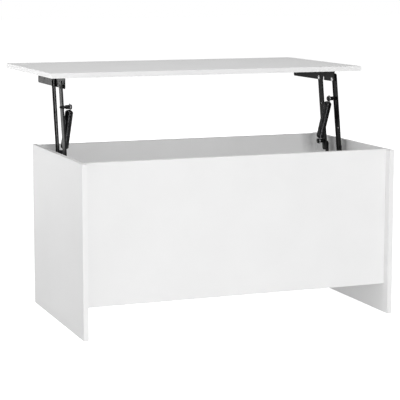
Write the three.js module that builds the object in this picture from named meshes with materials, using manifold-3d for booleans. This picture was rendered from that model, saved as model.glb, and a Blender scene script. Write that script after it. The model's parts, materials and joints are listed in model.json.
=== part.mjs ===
// Lift top coffee table: a box of white faced boards with a flat top that rises, and moves back, on
// two mirrored steel mechanisms. Each mechanism is a pair of parallel arms and one tension spring.
// Millimetres, +Z up, front towards -Y. The top is modelled raised. While the pieces are made, x runs
// from the table's middle, y from the front edges of the side panels and z from the floor. At the end
// the whole table moves so that its origin lies on the floor, under the middle of its raised outline.
import * as THREE from "three";
import { mergeVertices } from "three/addons/utils/BufferGeometryUtils.js";
import Module from "manifold-3d";

const wasm = await Module();
wasm.setup();

// Boards
const TOP_WIDTH = 1020;
const TOP_DEPTH = 555;
const CLOSED_HEIGHT = 525;
const TOP_THICKNESS = 15;
const SIDE_THICKNESS = 15;
const PANEL_THICKNESS = 15;
const SIDE_OVERHANG = 15; // the top past each side panel
const FRONT_OVERHANG = 2.5; // the closed top past the side panels' front edges
const BACK_OVERHANG = 2.5;
const CLOSING_GAP = 0.5; // between the box's rim and the closed top
const FRONT_RECESS = 27.5; // front panel behind the side panels' front edges
const BACK_RECESS = 17;
const FLOOR_CLEARANCE = 91; // under the front, back and bottom panels

// Arms and their pivots
const ARM_LENGTH = 220; // between the two pivots of an arm
const ARM_WIDTH = 30;
const ARM_DEPTH = 4.6;
const ARM_WALL = 1.6;
const ARM_END_REACH = 18; // past a pivot
const ARM_CORNER = 8;
const RAISED_ANGLE = 80; // degrees, from +Y to a raised arm: 10 past upright
const PIVOT_SPACING = 96;
const REAR_PIVOT_TO_BACK = 118; // lower rear pivot ahead of the back panel's inner face
const BASE_PIVOT_DROP = 22.5; // lower pivots below the box's rim
const TOP_PIVOT_DROP = 31.3; // upper pivots below the top's underside
const REAR_ARM_HOLES = [104, 135]; // small holes, from the lower pivot
const FRONT_ARM_HOLES = [62];
const SMALL_HOLE_RADIUS = 2.5;

// Layers of a mechanism, from the side panel's inner face to the table's middle
const EAR_STANDOFF = 16.5;
const STEEL = 2; // sheet of both brackets
const WASHER_GAP = 1;
const ARM_GAP = 0.3;
const WEB_GAP = 0.8;
const SLEEVE_GAP = 0.6;
const PLAY = 0.15; // between faces that turn on each other

// Brackets
const BASE_PLATE_HEIGHT = 60;
const BASE_PLATE_MARGIN = 32; // past the lower pivots, front and back
const SHELF_CLEARANCE = 9;
const EAR_WIDTH = 21;
const WEB_HEIGHT = 37.5;
const FLANGE_WIDTH = 22;
const WEB_FRONT_REACH = 17; // web ahead of the upper front pivot
const WEB_LENGTH = 311;
const NOTCH_CLEARANCE = 0.6;

// Rivets, bolts and screws
const RIVET_RADIUS = 4;
const RIVET_HEAD_RADIUS = 7;
const RIVET_HEAD = 1.7;
const SPACER_RADIUS = 6;
const HOLE_CLEARANCE = 0.3;
const BOLT_RADIUS = 2.5;
const BOLT_HEAD_RADIUS = 9.5;
const BOLT_HEAD = 3.5;
const NUT_RADIUS = 5.5;
const NUT_HEIGHT = 4;
const THREAD_SHOWING = 1; // past the nut
const FLUSH_HEAD_RADIUS = 5;
const UPPER_BOLT_FROM_PIVOT = 62; // on the front arm, below its upper pivot
const LOWER_BOLT_FROM_PIVOT = 11.2; // on the rear arm, above its lower pivot
const SLEEVE_RADIUS = 6.5;
const NECK_RADIUS = 3.3; // where the sleeve passes the web
const COLLAR_RADIUS = 5.5; // between the web and the arm
const SCREW_RADIUS = 1.9;
const SCREW_LENGTH = 11;
const SCREW_HEAD_RADIUS = 4.5;
const SCREW_HEAD = 2.4;
const SCREW_CLEARANCE = 0.3;
const SCREWS_PER_BASE = 3;
const SCREWS_PER_TOP = 4;
const SCREW_MARGIN = 14; // outer screws inside a bracket's ends

// Spring
const COIL_RADIUS = 12.5;
const COIL_CLEARANCE = 0.3; // to the rivet heads on the web
const COIL_WIRE = 2.6;
const COIL_FROM_BOLT = 12.5;
const CONE_LENGTH = 4.5;
const CONE_MOUTH = 4.2;
const HOOK_WIRE_RADIUS = 1.75;
const HOOK_CLEARANCE = 0.5; // round the sleeve
const HOOK_MARGIN = 0.35; // to the bolt's head
const HOOK_HEAD_RADIUS = 5.4;
const HOOK_HEAD = 3;
const HOOK_STEM = 12; // from the ring to the far side of the hook's head

// Cam fittings of the front and back panels
const CAM_RADIUS = 7.5;
const CAM_DEPTH = 12;
const CAM_SETBACK = 34; // from a panel's end
const CAM_EDGE_DISTANCE = 110; // from a panel's upper and lower edge
const CAM_CLEARANCE = 0.3;
const CAM_SLOT_WIDTH = 1.6; // of the cross recess
const CAM_SLOT_LENGTH = 9;
const CAM_SLOT_DEPTH = 2;

const THROUGH = 1; // how far a cutting tool stands past a face
const FINE = 20; // sides of a large round piece
const ROUND = 16;
const SMALL_ROUND = 12;
const RING_SIDES = 24;
const WIRE_SIDES = 8;
const MERGE = 1e-4;

// Places that follow from the sizes above
const boxWidth = TOP_WIDTH - 2 * SIDE_OVERHANG;
const boxDepth = TOP_DEPTH - FRONT_OVERHANG - BACK_OVERHANG;
const rim = CLOSED_HEIGHT - TOP_THICKNESS - CLOSING_GAP;
const sideInner = boxWidth / 2 - SIDE_THICKNESS;
const frontPanelBack = FRONT_RECESS + PANEL_THICKNESS;
const backPanelFront = boxDepth - BACK_RECESS - PANEL_THICKNESS;
const degrees = Math.PI / 180;
const armDirection = [Math.cos(RAISED_ANGLE * degrees), Math.sin(RAISED_ANGLE * degrees)];
const basePivotZ = rim - BASE_PIVOT_DROP;
const rearPivotY = backPanelFront - REAR_PIVOT_TO_BACK;
const frontPivotY = rearPivotY - PIVOT_SPACING;
const topPivotZ = basePivotZ + ARM_LENGTH * armDirection[1];
const underside = topPivotZ + TOP_PIVOT_DROP;
const topPivotY = frontPivotY + ARM_LENGTH * armDirection[0];
const closedDrop = (basePivotZ - (rim + CLOSING_GAP - TOP_PIVOT_DROP)) / ARM_LENGTH;
const closedAngle = Math.PI + Math.asin(closedDrop);
const closedDirection = [Math.cos(closedAngle), Math.sin(closedAngle)];
const travel = ARM_LENGTH * (armDirection[0] - closedDirection[0]);
const topFront = travel - FRONT_OVERHANG;

// Layers across a mechanism, as distances from the table's middle
const earOuter = sideInner - EAR_STANDOFF;
const earInner = earOuter - STEEL;
const frontArmOuter = earInner - WASHER_GAP;
const frontArmInner = frontArmOuter - ARM_DEPTH;
const rearArmOuter = frontArmInner - ARM_GAP;
const rearArmInner = rearArmOuter - ARM_DEPTH;
const webOuter = rearArmInner - WEB_GAP;
const webInner = webOuter - STEEL;
const springPlane = webInner - RIVET_HEAD - COIL_CLEARANCE - COIL_RADIUS;
const sleeveOuter = webInner - SLEEVE_GAP;
const sleeveInner = springPlane - HOOK_WIRE_RADIUS - HOOK_MARGIN;
const frontArmWeb = frontArmOuter - ARM_WALL;
const rearArmWeb = rearArmInner + ARM_WALL;

const whiteBoard = new THREE.MeshStandardMaterial({
  color: 0xf2f2f2, roughness: 0.5, metalness: 0, flatShading: true,
});
const blackSteel = new THREE.MeshStandardMaterial({
  color: 0x1b1b1c, roughness: 0.45, metalness: 0.4, flatShading: true,
});
const bareSteel = new THREE.MeshStandardMaterial({
  color: 0xb4b6b8, roughness: 0.35, metalness: 1, flatShading: true,
});
const springSteel = new THREE.MeshStandardMaterial({
  color: 0x2a2a2c, roughness: 0.3, metalness: 0.8, flatShading: true,
});
const zincCast = new THREE.MeshStandardMaterial({
  color: 0xa9a9a6, roughness: 0.45, metalness: 0.9, flatShading: true,
});

// A geometry whose outline was drawn as (y, z) and pushed along x
const AS_SIDE_VIEW = new THREE.Matrix4().makeBasis(
  new THREE.Vector3(0, 1, 0), new THREE.Vector3(0, 0, 1), new THREE.Vector3(1, 0, 0),
);
// A geometry whose outline was drawn as (x, z) and pushed along -y
const AS_FRONT_VIEW = new THREE.Matrix4().makeBasis(
  new THREE.Vector3(1, 0, 0), new THREE.Vector3(0, 0, 1), new THREE.Vector3(0, -1, 0),
);

function solidOf(geometry) {
  const bare = geometry.clone();
  bare.deleteAttribute("normal");
  bare.deleteAttribute("uv");
  const merged = mergeVertices(bare, MERGE);
  return new wasm.Manifold(new wasm.Mesh({
    numProp: 3,
    vertProperties: merged.attributes.position.array,
    triVerts: new Uint32Array(merged.index.array),
  }));
}

function geometryOf(solid) {
  const mesh = solid.getMesh();
  const positions = new THREE.BufferAttribute(new Float32Array(mesh.vertProperties), 3);
  return new THREE.BufferGeometry()
    .setAttribute("position", positions)
    .setIndex(new THREE.BufferAttribute(new Uint32Array(mesh.triVerts), 1));
}

function cut(body, tools) {
  return geometryOf(tools.reduce((left, tool) => left.subtract(solidOf(tool)), solidOf(body)));
}

function join(pieces) {
  const [first, ...others] = pieces.map(solidOf);
  return geometryOf(others.reduce((whole, piece) => whole.add(piece), first));
}

// A box between two corners
function block(low, high) {
  const size = high.map((value, axis) => value - low[axis]);
  const middle = high.map((value, axis) => (value + low[axis]) / 2);
  return new THREE.BoxGeometry(...size).translate(...middle);
}

// A plate drawn as (y, z), from x = inner to x = outer
function sidePlate(shape, inner, outer, curveSegments = 6) {
  return new THREE.ExtrudeGeometry(shape, { depth: outer - inner, bevelEnabled: false, curveSegments })
    .applyMatrix4(AS_SIDE_VIEW)
    .translate(inner, 0, 0);
}

function roundedRectangle(low, high, corner) {
  const [left, bottom] = low;
  const [right, top] = high;
  return new THREE.Shape()
    .moveTo(left + corner, bottom)
    .lineTo(right - corner, bottom)
    .absarc(right - corner, bottom + corner, corner, -Math.PI / 2, 0, false)
    .lineTo(right, top - corner)
    .absarc(right - corner, top - corner, corner, 0, Math.PI / 2, false)
    .lineTo(left + corner, top)
    .absarc(left + corner, top - corner, corner, Math.PI / 2, Math.PI, false)
    .lineTo(left, bottom + corner)
    .absarc(left + corner, bottom + corner, corner, Math.PI, 1.5 * Math.PI, false);
}

// A round bar along x at height z and depth y
function barX(radius, inner, outer, y, z, segments = ROUND) {
  return new THREE.CylinderGeometry(radius, radius, outer - inner, segments)
    .rotateZ(-Math.PI / 2)
    .translate((inner + outer) / 2, y, z);
}

function barZ(radius, bottom, top, x, y, segments = SMALL_ROUND) {
  return new THREE.CylinderGeometry(radius, radius, top - bottom, segments)
    .rotateX(Math.PI / 2)
    .translate(x, y, (bottom + top) / 2);
}

// A turned piece along x from a list of [radius, x from, x to] steps, each touching the next
function turnedX(steps, y, z, segments = ROUND) {
  const profile = [new THREE.Vector2(0, steps[0][1])];
  steps.forEach(([radius, from, to]) => {
    profile.push(new THREE.Vector2(radius, from));
    profile.push(new THREE.Vector2(radius, to));
  });
  profile.push(new THREE.Vector2(0, steps[steps.length - 1][2]));
  return new THREE.LatheGeometry(profile, segments).rotateZ(-Math.PI / 2).translate(0, y, z);
}

function named(name, geometry, material) {
  const mesh = new THREE.Mesh(geometry, material);
  mesh.name = name;
  return mesh;
}

// Evenly spaced places from one end to the other
function spread(count, from, to) {
  return Array.from({ length: count }, (_, i) => from + ((to - from) * i) / (count - 1));
}

// The base bracket's plate, shelf and screws
const armSweep = Math.hypot(ARM_END_REACH, ARM_WIDTH / 2);
const shelfTop = basePivotZ - armSweep - SHELF_CLEARANCE;
const basePlateY = [
  frontPivotY - BASE_PLATE_MARGIN,
  rearPivotY + BASE_PLATE_MARGIN,
];
const baseScrewY = spread(SCREWS_PER_BASE, basePlateY[0] + SCREW_MARGIN, basePlateY[1] - SCREW_MARGIN);
const baseScrewZ = shelfTop - STEEL - BASE_PLATE_HEIGHT / 2;
const webY = [topPivotY - WEB_FRONT_REACH, topPivotY - WEB_FRONT_REACH + WEB_LENGTH];
const topScrewY = spread(SCREWS_PER_TOP, webY[0] + SCREW_MARGIN, webY[1] - SCREW_MARGIN);
const topScrewX = webInner - (FLANGE_WIDTH - STEEL) / 2;
const basePivots = [frontPivotY, rearPivotY];
const topPivots = [topPivotY, topPivotY + PIVOT_SPACING];

function topBoard() {
  const board = block(
    [-TOP_WIDTH / 2, topFront, underside],
    [TOP_WIDTH / 2, topFront + TOP_DEPTH, underside + TOP_THICKNESS],
  );
  const pilots = topScrewY.flatMap((y) => [-topScrewX, topScrewX].map((x) => barZ(
    SCREW_RADIUS + SCREW_CLEARANCE, underside - THROUGH, underside + SCREW_LENGTH, x, y,
  )));
  return cut(board, pilots);
}

function sidePanel() {
  const board = block([sideInner, 0, 0], [sideInner + SIDE_THICKNESS, boxDepth, rim]);
  const pilots = baseScrewY.map((y) => barX(
    SCREW_RADIUS + SCREW_CLEARANCE, sideInner - THROUGH, sideInner + SCREW_LENGTH, y, baseScrewZ,
    SMALL_ROUND,
  ));
  return cut(board, pilots);
}

// Places of the cam fittings across and up a front or back panel
const camPlaces = [-1, 1].flatMap((side) => [
  [side * (sideInner - CAM_SETBACK), FLOOR_CLEARANCE + CAM_EDGE_DISTANCE],
  [side * (sideInner - CAM_SETBACK), rim - CAM_EDGE_DISTANCE],
]);

function barY(radius, from, to, x, z) {
  return new THREE.CylinderGeometry(radius, radius, to - from, FINE)
    .translate(x, (from + to) / 2, z);
}

function frontPanel() {
  const board = block([-sideInner, FRONT_RECESS, FLOOR_CLEARANCE], [sideInner, frontPanelBack, rim]);
  return cut(board, camPlaces.map(([x, z]) => barY(
    CAM_RADIUS, frontPanelBack - CAM_DEPTH, frontPanelBack + THROUGH, x, z,
  )));
}

function backPanel() {
  const back = backPanelFront + PANEL_THICKNESS;
  const board = block([-sideInner, backPanelFront, FLOOR_CLEARANCE], [sideInner, back, rim]);
  return cut(board, camPlaces.map(([x, z]) => barY(
    CAM_RADIUS, backPanelFront - THROUGH, backPanelFront + CAM_DEPTH, x, z,
  )));
}

function bottomPanel() {
  return block(
    [-sideInner, frontPanelBack, FLOOR_CLEARANCE],
    [sideInner, backPanelFront, FLOOR_CLEARANCE + PANEL_THICKNESS],
  );
}

// A cam disc with a cross recess in its face, the face towards `mouth`
function cam(x, z, mouth, inward) {
  const bottom = mouth - inward * (CAM_DEPTH - CAM_CLEARANCE);
  const [near, far] = [Math.min(mouth, bottom), Math.max(mouth, bottom)];
  const disc = barY(CAM_RADIUS - CAM_CLEARANCE, near, far, x, z);
  const slotY = [mouth - CAM_SLOT_DEPTH, mouth + CAM_SLOT_DEPTH];
  const slots = [[CAM_SLOT_WIDTH, CAM_SLOT_LENGTH], [CAM_SLOT_LENGTH, CAM_SLOT_WIDTH]];
  const arms = slots.map(([across, up]) => block(
    [x - across / 2, slotY[0], z - up / 2],
    [x + across / 2, slotY[1], z + up / 2],
  ));
  return cut(disc, arms);
}

// Pressed from one sheet: a plate on the side panel, a shelf, and two ears that carry the pivots
function baseBracket() {
  const plateBottom = shelfTop - STEEL - BASE_PLATE_HEIGHT;
  const plate = sidePlate(
    roundedRectangle([basePlateY[0], plateBottom], [basePlateY[1], shelfTop], ARM_CORNER),
    sideInner - STEEL, sideInner,
  );
  const shelfEnds = [basePlateY[0] + ARM_CORNER, basePlateY[1] - ARM_CORNER];
  const shelf = block([earInner, shelfEnds[0], shelfTop - STEEL], [sideInner, shelfEnds[1], shelfTop]);
  const ears = basePivots.map((y) => {
    const half = EAR_WIDTH / 2;
    const outline = new THREE.Shape()
      .moveTo(y - half, shelfTop - STEEL)
      .lineTo(y + half, shelfTop - STEEL)
      .lineTo(y + half, basePivotZ)
      .absarc(y, basePivotZ, half, 0, Math.PI, false);
    return sidePlate(outline, earInner, earOuter, 10);
  });
  const pivotHoles = basePivots.map((y) => barX(
    RIVET_RADIUS + HOLE_CLEARANCE, earInner - THROUGH, earOuter + THROUGH, y, basePivotZ,
  ));
  const screwHoles = baseScrewY.map((y) => barX(
    SCREW_RADIUS + SCREW_CLEARANCE, sideInner - STEEL - THROUGH, sideInner + THROUGH, y, baseScrewZ,
    SMALL_ROUND,
  ));
  return cut(join([plate, shelf, ...ears]), [...pivotHoles, ...screwHoles]);
}

// An angle under the top: its web hangs beside the arms, its flange points to the table's middle.
// A notch in the web's lower edge lets the upper spring bolt in as the top comes down.
function topBracket() {
  const flangeInner = webInner - (FLANGE_WIDTH - STEEL);
  const section = new THREE.Shape()
    .moveTo(webInner, underside - WEB_HEIGHT)
    .lineTo(webOuter, underside - WEB_HEIGHT)
    .lineTo(webOuter, underside)
    .lineTo(flangeInner, underside)
    .lineTo(flangeInner, underside - STEEL)
    .lineTo(webInner, underside - STEEL);
  const angle = new THREE.ExtrudeGeometry(section, { depth: WEB_LENGTH, bevelEnabled: false })
    .applyMatrix4(AS_FRONT_VIEW)
    .translate(0, webY[1], 0);
  const pivotHoles = topPivots.map((y) => barX(
    RIVET_RADIUS + HOLE_CLEARANCE, webInner - THROUGH, webOuter + THROUGH, y, topPivotZ,
  ));
  const screwHoles = topScrewY.map((y) => barZ(
    SCREW_RADIUS + SCREW_CLEARANCE, underside - STEEL - THROUGH, underside + THROUGH, topScrewX, y,
  ));
  const boltY = topPivotY - UPPER_BOLT_FROM_PIVOT * closedDirection[0];
  const boltZ = topPivotZ - UPPER_BOLT_FROM_PIVOT * closedDirection[1];
  const half = NECK_RADIUS + NOTCH_CLEARANCE;
  const notch = sidePlate(
    new THREE.Shape()
      .moveTo(boltY - half, underside - WEB_HEIGHT - THROUGH)
      .lineTo(boltY + half, underside - WEB_HEIGHT - THROUGH)
      .lineTo(boltY + half, boltZ)
      .absarc(boltY, boltZ, half, 0, Math.PI, false),
    webInner - THROUGH, webOuter + THROUGH,
  );
  return cut(angle, [...pivotHoles, ...screwHoles, notch]);
}

// A shallow channel with rounded ends. It stands upright on its lower pivot, and the caller turns it.
function arm(inner, outer, opensInward, boltAt, smallHoles) {
  const half = ARM_WIDTH / 2;
  const low = [-half, -ARM_END_REACH];
  const high = [half, ARM_LENGTH + ARM_END_REACH];
  const body = sidePlate(roundedRectangle(low, high, ARM_CORNER), inner, outer);
  const hollow = roundedRectangle(
    low.map((value) => value + ARM_WALL),
    high.map((value) => value - ARM_WALL),
    ARM_CORNER - ARM_WALL,
  );
  const pocket = opensInward
    ? sidePlate(hollow, inner - THROUGH, outer - ARM_WALL)
    : sidePlate(hollow, inner + ARM_WALL, outer + THROUGH);
  const holes = [
    ...[0, ARM_LENGTH].map((at) => [RIVET_RADIUS + HOLE_CLEARANCE, at]),
    [BOLT_RADIUS + HOLE_CLEARANCE, boltAt],
    ...smallHoles.map((at) => [SMALL_HOLE_RADIUS, at]),
  ].map(([radius, at]) => barX(radius, inner - THROUGH, outer + THROUGH, 0, at));
  return cut(body, [pocket, ...holes]);
}

function screwX(y, z) {
  const face = sideInner - STEEL;
  return turnedX([
    [SCREW_HEAD_RADIUS, face - SCREW_HEAD, face],
    [SCREW_RADIUS, face, sideInner + SCREW_LENGTH - SCREW_CLEARANCE],
  ], y, z, SMALL_ROUND);
}

function screwZ(x, y) {
  const face = underside - STEEL;
  return new THREE.LatheGeometry([
    new THREE.Vector2(0, face - SCREW_HEAD),
    new THREE.Vector2(SCREW_HEAD_RADIUS, face - SCREW_HEAD),
    new THREE.Vector2(SCREW_HEAD_RADIUS, face),
    new THREE.Vector2(SCREW_RADIUS, face),
    new THREE.Vector2(SCREW_RADIUS, underside + SCREW_LENGTH - SCREW_CLEARANCE),
    new THREE.Vector2(0, underside + SCREW_LENGTH - SCREW_CLEARANCE),
  ], SMALL_ROUND).rotateX(Math.PI / 2).translate(x, y, 0);
}

// The four pivots of a mechanism, each a shouldered rivet with its spacer
function rivets() {
  const [frontBase, rearBase] = basePivots;
  const [frontTop, rearTop] = topPivots;
  return {
    front_lower_rivet: turnedX([
      [RIVET_HEAD_RADIUS, frontArmWeb - PLAY - RIVET_HEAD, frontArmWeb - PLAY],
      [RIVET_RADIUS, frontArmWeb - PLAY, frontArmOuter + PLAY],
      [SPACER_RADIUS, frontArmOuter + PLAY, earInner],
      [RIVET_RADIUS, earInner, earOuter],
      [RIVET_HEAD_RADIUS, earOuter, earOuter + RIVET_HEAD],
    ], frontBase, basePivotZ),
    rear_lower_rivet: turnedX([
      [RIVET_HEAD_RADIUS, rearArmInner - PLAY - RIVET_HEAD, rearArmInner - PLAY],
      [RIVET_RADIUS, rearArmInner - PLAY, rearArmWeb + PLAY],
      [SPACER_RADIUS, rearArmWeb + PLAY, earInner],
      [RIVET_RADIUS, earInner, earOuter],
      [RIVET_HEAD_RADIUS, earOuter, earOuter + RIVET_HEAD],
    ], rearBase, basePivotZ),
    front_upper_rivet: turnedX([
      [RIVET_HEAD_RADIUS, webInner - RIVET_HEAD, webInner],
      [RIVET_RADIUS, webInner, webOuter],
      [SPACER_RADIUS, webOuter, frontArmWeb - PLAY],
      [RIVET_RADIUS, frontArmWeb - PLAY, frontArmOuter + PLAY],
      [RIVET_HEAD_RADIUS, frontArmOuter + PLAY, frontArmOuter + PLAY + RIVET_HEAD],
    ], frontTop, topPivotZ),
    rear_upper_rivet: turnedX([
      [RIVET_HEAD_RADIUS, webInner - RIVET_HEAD, webInner],
      [RIVET_RADIUS, webInner, webOuter],
      [SPACER_RADIUS, webOuter, rearArmInner - PLAY],
      [RIVET_RADIUS, rearArmInner - PLAY, rearArmWeb + PLAY],
      [RIVET_HEAD_RADIUS, rearArmWeb + PLAY, rearArmWeb + PLAY + RIVET_HEAD],
    ], rearTop, topPivotZ),
  };
}

// A point on a raised arm, at a distance from that arm's lower pivot
function onArm(pivotY, distance) {
  return [pivotY + distance * armDirection[0], basePivotZ + distance * armDirection[1]];
}

const upperBolt = onArm(basePivots[0], ARM_LENGTH - UPPER_BOLT_FROM_PIVOT);
const lowerBolt = onArm(basePivots[1], LOWER_BOLT_FROM_PIVOT);

function hexagon(radius, inner, outer, y, z) {
  return new THREE.CylinderGeometry(radius, radius, outer - inner, 6)
    .rotateZ(-Math.PI / 2)
    .translate((inner + outer) / 2, y, z);
}

// The bolt that a spring hook pulls on: a hexagon head at its inner end, its shank through the arm
function springBolt([y, z], shankEnd, tail) {
  const head = hexagon(BOLT_HEAD_RADIUS, sleeveInner - BOLT_HEAD, sleeveInner, y, z);
  const shank = turnedX([[BOLT_RADIUS, sleeveInner - THROUGH, shankEnd], ...tail], y, z, SMALL_ROUND);
  return join([head, shank]);
}

// The turned tube on a spring bolt, with a narrow neck beside the web and `beyond` it the steps that
// reach the arm
function sleeve([y, z], neckEnd, beyond) {
  const bore = BOLT_RADIUS + HOLE_CLEARANCE;
  const steps = [[SLEEVE_RADIUS, sleeveInner, sleeveOuter], [NECK_RADIUS, sleeveOuter, neckEnd], ...beyond];
  const armFace = steps[steps.length - 1][2];
  const outside = turnedX(steps, y, z, FINE);
  return cut(outside, [barX(bore, sleeveInner - THROUGH, armFace + THROUGH, y, z, SMALL_ROUND)]);
}

function nut([y, z]) {
  const body = hexagon(NUT_RADIUS, frontArmOuter, frontArmOuter + NUT_HEIGHT, y, z);
  const ends = [frontArmOuter - THROUGH, frontArmOuter + NUT_HEIGHT + THROUGH];
  return cut(body, [barX(BOLT_RADIUS + HOLE_CLEARANCE, ...ends, y, z, SMALL_ROUND)]);
}

// The spring's parts are drawn along +y from the lower bolt, and the caller turns them into place
const springLength = Math.hypot(upperBolt[0] - lowerBolt[0], upperBolt[1] - lowerBolt[1]);
const springAngle = Math.atan2(upperBolt[1] - lowerBolt[1], upperBolt[0] - lowerBolt[0]);

// The outer shape of the close wound coil, hollow, with coned ends
function coil() {
  const from = COIL_FROM_BOLT;
  const to = springLength - COIL_FROM_BOLT;
  const mouth = CONE_MOUTH + COIL_WIRE;
  const profile = [
    [mouth, from], [COIL_RADIUS, from + CONE_LENGTH], [COIL_RADIUS, to - CONE_LENGTH], [mouth, to],
    [CONE_MOUTH, to], [COIL_RADIUS - COIL_WIRE, to - CONE_LENGTH],
    [COIL_RADIUS - COIL_WIRE, from + CONE_LENGTH], [CONE_MOUTH, from], [mouth, from],
  ];
  return new THREE.LatheGeometry(profile.map(([radius, along]) => new THREE.Vector2(radius, along)), FINE);
}

// A ring round the sleeve, a stem into the coil's mouth, and a head that the coned end holds
function hook() {
  const ringRadius = SLEEVE_RADIUS + HOOK_CLEARANCE + HOOK_WIRE_RADIUS;
  const ring = new THREE.TorusGeometry(ringRadius, HOOK_WIRE_RADIUS, WIRE_SIDES, RING_SIDES)
    .rotateY(Math.PI / 2);
  const end = ringRadius + HOOK_STEM;
  const stem = new THREE.LatheGeometry([
    new THREE.Vector2(0, ringRadius),
    new THREE.Vector2(HOOK_WIRE_RADIUS, ringRadius),
    new THREE.Vector2(HOOK_WIRE_RADIUS, end - HOOK_HEAD),
    new THREE.Vector2(HOOK_HEAD_RADIUS, end - HOOK_HEAD),
    new THREE.Vector2(HOOK_HEAD_RADIUS, end),
    new THREE.Vector2(0, end),
  ], SMALL_ROUND);
  return join([ring, stem]);
}

// Turned about the lower bolt so that +y runs along the spring, then set `along` it
function placeOnSpring(mesh, along, turn = 0) {
  mesh.rotation.x = springAngle + turn;
  mesh.position.set(
    springPlane,
    lowerBolt[0] + along * Math.cos(springAngle),
    lowerBolt[1] + along * Math.sin(springAngle),
  );
  return mesh;
}

function placeArm(mesh, pivotY) {
  mesh.rotation.x = RAISED_ANGLE * degrees - Math.PI / 2;
  mesh.position.set(0, pivotY, basePivotZ);
  return mesh;
}

// Everything that one side has, drawn for the right side; the left side is its mirror image
function sideAssembly(side) {
  const group = new THREE.Group();
  const upperAt = ARM_LENGTH - UPPER_BOLT_FROM_PIVOT;
  const frontArm = arm(frontArmInner, frontArmOuter, true, upperAt, FRONT_ARM_HOLES);
  const rearArm = arm(rearArmInner, rearArmOuter, false, LOWER_BOLT_FROM_PIVOT, REAR_ARM_HOLES);
  group.add(
    named(`${side}_side_panel`, sidePanel(), whiteBoard),
    named(`${side}_base_bracket`, baseBracket(), blackSteel),
    named(`${side}_top_bracket`, topBracket(), blackSteel),
    placeArm(named(`${side}_front_arm`, frontArm, blackSteel), basePivots[0]),
    placeArm(named(`${side}_rear_arm`, rearArm, blackSteel), basePivots[1]),
  );
  Object.entries(rivets()).forEach(([name, geometry]) => {
    group.add(named(`${side}_${name}`, geometry, name.includes("lower") ? blackSteel : bareSteel));
  });
  const flushHead = [[FLUSH_HEAD_RADIUS, rearArmWeb, rearArmWeb + RIVET_HEAD]];
  const shankEnd = frontArmOuter + NUT_HEIGHT + THREAD_SHOWING;
  const collarStart = webOuter + WEB_GAP;
  const collar = [[COLLAR_RADIUS, collarStart, frontArmWeb]];
  group.add(
    named(`${side}_upper_spring_bolt`, springBolt(upperBolt, shankEnd, []), blackSteel),
    named(`${side}_lower_spring_bolt`, springBolt(lowerBolt, rearArmWeb, flushHead), blackSteel),
    named(`${side}_upper_sleeve`, sleeve(upperBolt, collarStart, collar), blackSteel),
    named(`${side}_lower_sleeve`, sleeve(lowerBolt, rearArmInner, []), blackSteel),
    named(`${side}_spring_bolt_nut`, nut(upperBolt), blackSteel),
    placeOnSpring(named(`${side}_spring_coil`, coil(), springSteel), 0),
    placeOnSpring(named(`${side}_lower_spring_hook`, hook(), springSteel), 0),
    placeOnSpring(named(`${side}_upper_spring_hook`, hook(), springSteel), springLength, Math.PI),
  );
  baseScrewY.forEach((y, i) => {
    group.add(named(`${side}_base_screw_${i + 1}`, screwX(y, baseScrewZ), bareSteel));
  });
  topScrewY.forEach((y, i) => {
    group.add(named(`${side}_top_screw_${i + 1}`, screwZ(topScrewX, y), bareSteel));
  });
  return group;
}

const table = new THREE.Group();
const rightSide = sideAssembly("right");
const leftSide = sideAssembly("left");
leftSide.scale.x = -1;
table.add(
  leftSide,
  rightSide,
  named("lift_top", topBoard(), whiteBoard),
  named("front_panel", frontPanel(), whiteBoard),
  named("back_panel", backPanel(), whiteBoard),
  named("bottom_panel", bottomPanel(), whiteBoard),
);
camPlaces.forEach(([x, z], i) => {
  table.add(
    named(`front_panel_cam_${i + 1}`, cam(x, z, frontPanelBack, 1), zincCast),
    named(`back_panel_cam_${i + 1}`, cam(x, z, backPanelFront, -1), zincCast),
  );
});
table.position.y = -(topFront + TOP_DEPTH) / 2;

export default table;
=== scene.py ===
# A lift top coffee table with its top raised: white faced boards, two black steel lifting
# mechanisms and a tension spring in each. Metres, +Z up, front towards -Y, as in the frame.
import json
import math

import bmesh
import bpy
from mathutils import Matrix, Vector


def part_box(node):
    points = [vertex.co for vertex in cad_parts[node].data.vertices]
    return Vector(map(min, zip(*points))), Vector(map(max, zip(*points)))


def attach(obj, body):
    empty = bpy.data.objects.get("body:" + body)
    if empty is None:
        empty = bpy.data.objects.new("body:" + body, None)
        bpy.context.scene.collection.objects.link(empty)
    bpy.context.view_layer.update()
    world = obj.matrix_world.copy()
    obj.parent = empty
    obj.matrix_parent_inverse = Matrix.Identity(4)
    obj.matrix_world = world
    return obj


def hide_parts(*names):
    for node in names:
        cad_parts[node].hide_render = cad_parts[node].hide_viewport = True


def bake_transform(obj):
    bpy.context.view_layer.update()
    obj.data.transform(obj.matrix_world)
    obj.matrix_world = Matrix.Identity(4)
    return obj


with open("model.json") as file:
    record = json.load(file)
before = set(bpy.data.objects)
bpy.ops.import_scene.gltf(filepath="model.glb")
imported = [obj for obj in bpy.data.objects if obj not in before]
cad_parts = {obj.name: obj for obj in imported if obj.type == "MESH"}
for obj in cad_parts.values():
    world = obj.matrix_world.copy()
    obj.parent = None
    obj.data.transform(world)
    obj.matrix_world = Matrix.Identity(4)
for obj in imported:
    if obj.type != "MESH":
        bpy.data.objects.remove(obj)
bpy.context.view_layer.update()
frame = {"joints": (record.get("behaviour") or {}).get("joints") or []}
collection = bpy.context.scene.collection

# Camera: a long lens left of the table and a little above the raised top. It turns right and
# tips down, with a slight downward lens shift so that upright edges lean less.
camera_lens = bpy.data.cameras.new("camera")
camera_lens.sensor_width = 36.0
camera_lens.lens = 131.6
camera_lens.shift_y = -0.05
camera_lens.clip_end = 80.0
camera = bpy.data.objects.new("camera", camera_lens)
camera.location = (-1.6472, -4.3226, 1.0325)
camera.rotation_euler = (math.radians(90 - 7.92), 0.0, math.radians(-21.044))
collection.objects.link(camera)
bpy.context.scene.camera = camera


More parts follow.
